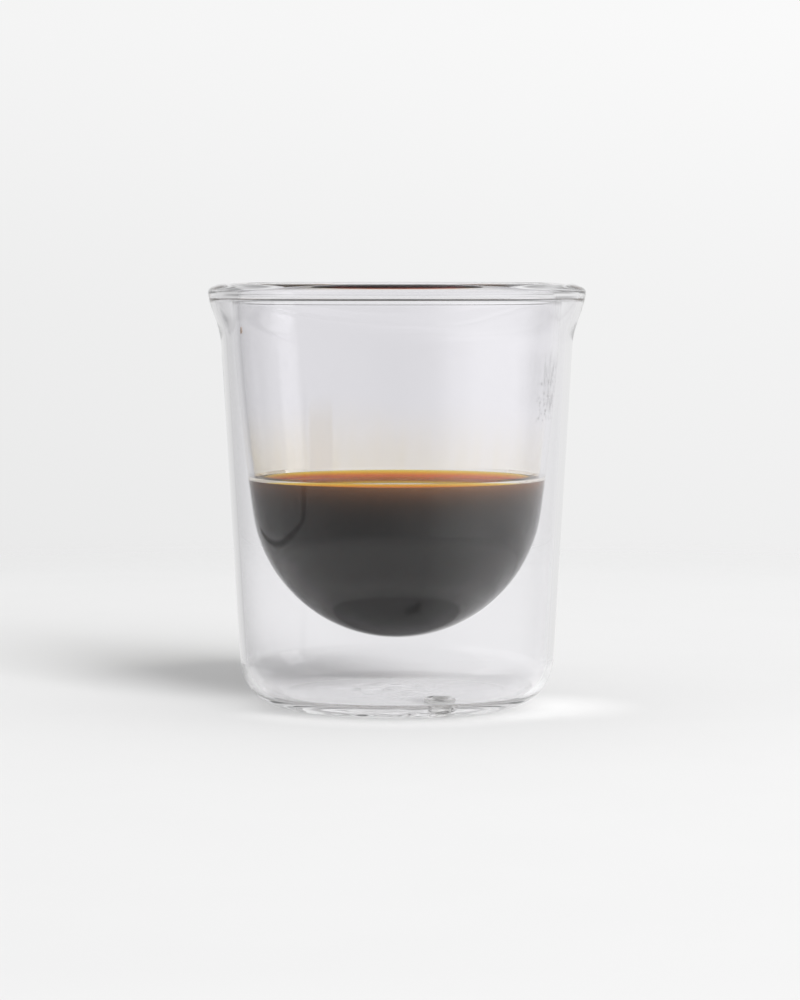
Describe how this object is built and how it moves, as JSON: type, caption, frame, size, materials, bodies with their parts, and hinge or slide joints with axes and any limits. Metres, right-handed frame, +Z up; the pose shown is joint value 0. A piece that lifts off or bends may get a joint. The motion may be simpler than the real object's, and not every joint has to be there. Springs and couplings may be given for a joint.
{
  "type": "double espresso in a glass",
  "caption": "Double-walled clear glass tumbler with a round inner bowl, half filled with black coffee up to a soft meniscus.",
  "frame": {"origin": "centre of the flat base, on the surface that the glass stands on", "axes": "+Z up along the axis of the glass, towards the rim"},
  "size_m": [0.075, 0.075, 0.0842],
  "materials": {
    "clear_glass": "clear, thin blown glass with a fire-polished rim and a thin coffee film above the drink",
    "stopper": "clear, slightly milky silicone",
    "coffee": "dark, glossy, translucent liquid, amber where it is thin at the edge"
  },
  "bodies": {
    "root": {"glass": "clear_glass", "vent_stopper": "stopper", "coffee": "coffee"}
  },
  "joints": []
}
